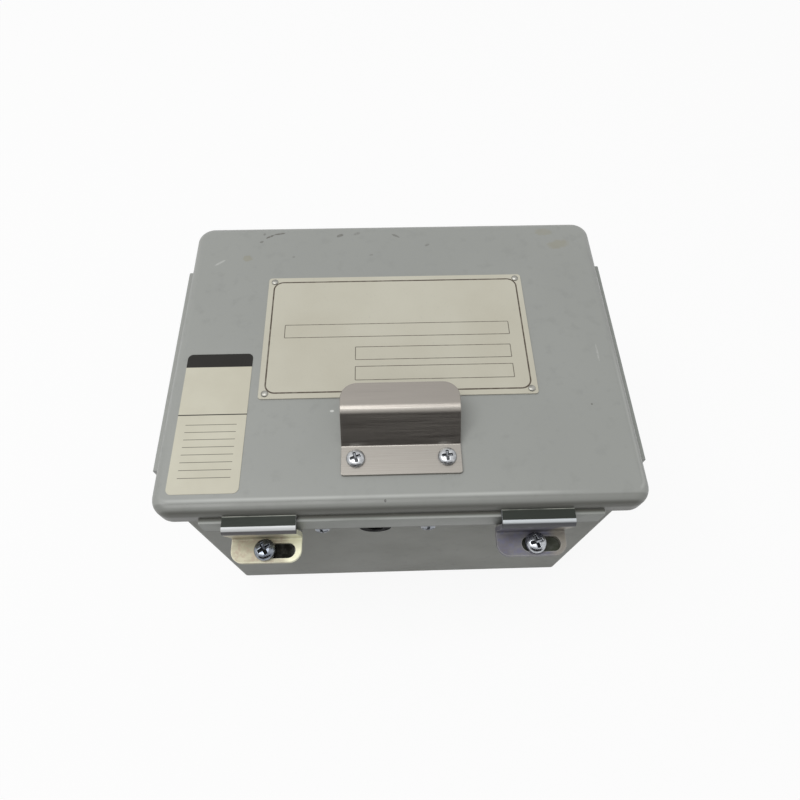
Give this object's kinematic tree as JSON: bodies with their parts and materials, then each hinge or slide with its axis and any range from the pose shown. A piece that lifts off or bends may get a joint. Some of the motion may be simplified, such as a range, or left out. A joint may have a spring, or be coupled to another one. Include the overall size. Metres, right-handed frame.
{
  "type": "pendant connection box",
  "caption": "Grey steel wall box with a rear-hinged clamped lid, bent finger pull, blank plates and a front cable entry; terminals and relays sit on a rail inside.",
  "frame": {"origin": "centre of the four bolt holes, on the mounting face under the feet", "axes": "+Z out through the lid, -Y to the clamps, +X to the right of someone facing the clamps"},
  "size_m": [0.2472, 0.18, 0.1716],
  "materials": {
    "box_paint": "smooth grey enamel",
    "lid_paint": "smooth grey enamel, lightly scuffed",
    "hinge_steel": "grey enamel over steel",
    "clamp_zinc": "zinc plate with a pale yellow tint",
    "bright_zinc": "bright zinc plate",
    "stainless": "brushed stainless steel",
    "plate_face": "cream printed aluminium",
    "rivet_alloy": "bare alloy",
    "label_film": "cream film",
    "gasket_sponge": "closed-cell sponge",
    "black_rubber": "moulded rubber",
    "panel_paint": "white enamel",
    "rail_zinc": "zinc plate",
    "terminal_plastic": "grey moulding",
    "stop_plastic": "dark moulding",
    "relay_case": "clear smoked cover",
    "earth_brass": "bare brass"
  },
  "bodies": {
    "case": {"box_shell": "box_paint", "mounting_foot_left": "box_paint", "mounting_foot_right": "box_paint", "clamp_anchor_left": "box_paint", "clamp_anchor_right": "box_paint", "hinge_body_leaf": "hinge_steel", "hinge_pin": "hinge_steel", "entry_screws": "bright_zinc", "entry_nuts": "bright_zinc", "panel_studs": "bright_zinc", "panel_nuts": "bright_zinc", "din_rail_screws": "bright_zinc", "cable_grommet": "black_rubber", "inner_panel": "panel_paint", "entry_plate": "panel_paint", "din_rail": "rail_zinc", "terminal_blocks": "terminal_plastic", "end_stops": "stop_plastic", "relay_sockets": "stop_plastic", "relays": "relay_case", "earth_stud": "earth_brass", "earth_nut": "earth_brass"},
    "lid": {"lid_shell": "lid_paint", "hinge_lid_leaf": "hinge_steel", "lid_gasket": "gasket_sponge", "lid_rail_front": "lid_paint", "lid_rail_left": "lid_paint", "lid_rail_right": "lid_paint", "pull_bracket": "stainless", "pull_screws": "bright_zinc", "pull_nuts": "bright_zinc", "nameplate": "plate_face", "nameplate_rivets": "rivet_alloy", "side_label": "label_film"},
    "draw_left": {"clamp_washer_left": "bright_zinc"},
    "screw_left": {"clamp_screw_left": "bright_zinc"},
    "clamp_left": {"clamp_left": "clamp_zinc"},
    "draw_right": {"clamp_washer_right": "bright_zinc"},
    "screw_right": {"clamp_screw_right": "bright_zinc"},
    "clamp_right": {"clamp_right": "clamp_zinc"}
  },
  "joints": [
    {"name": "lid_hinge", "type": "hinge", "parent": "case", "child": "lid", "pos_m": [0, 0.0792, 0.1458], "axis": [-1, 0, 0], "range_deg": [0, 180]},
    {"name": "clamp_left_draw", "type": "slide", "parent": "case", "child": "draw_left", "axis": [0, 0, 1], "range_m": [-0.0008, 0.003]},
    {"name": "clamp_left_turn", "type": "hinge", "parent": "draw_left", "child": "screw_left", "pos_m": [-0.0606, -0.09335, 0.1356], "axis": [0, 0, 1], "range_deg": [-273.1, 1021.5]},
    {"name": "clamp_left_slide", "type": "slide", "parent": "draw_left", "child": "clamp_left", "axis": [1, 0, 0], "range_m": [-0.0095, 0.0016]},
    {"name": "clamp_right_draw", "type": "slide", "parent": "case", "child": "draw_right", "axis": [0, 0, 1], "range_m": [-0.0008, 0.003]},
    {"name": "clamp_right_turn", "type": "hinge", "parent": "draw_right", "child": "screw_right", "pos_m": [0.0586, -0.09335, 0.1356], "axis": [0, 0, 1], "range_deg": [-273.1, 1021.5]},
    {"name": "clamp_right_slide", "type": "slide", "parent": "draw_right", "child": "clamp_right", "axis": [1, 0, 0], "range_m": [-0.0085, 0.003]}
  ],
  "couplings": [
    {"joint": "clamp_left_turn", "follows": "clamp_left_draw", "rad_per_m": 5936.9},
    {"joint": "clamp_right_turn", "follows": "clamp_right_draw", "rad_per_m": 5936.9}
  ]
}
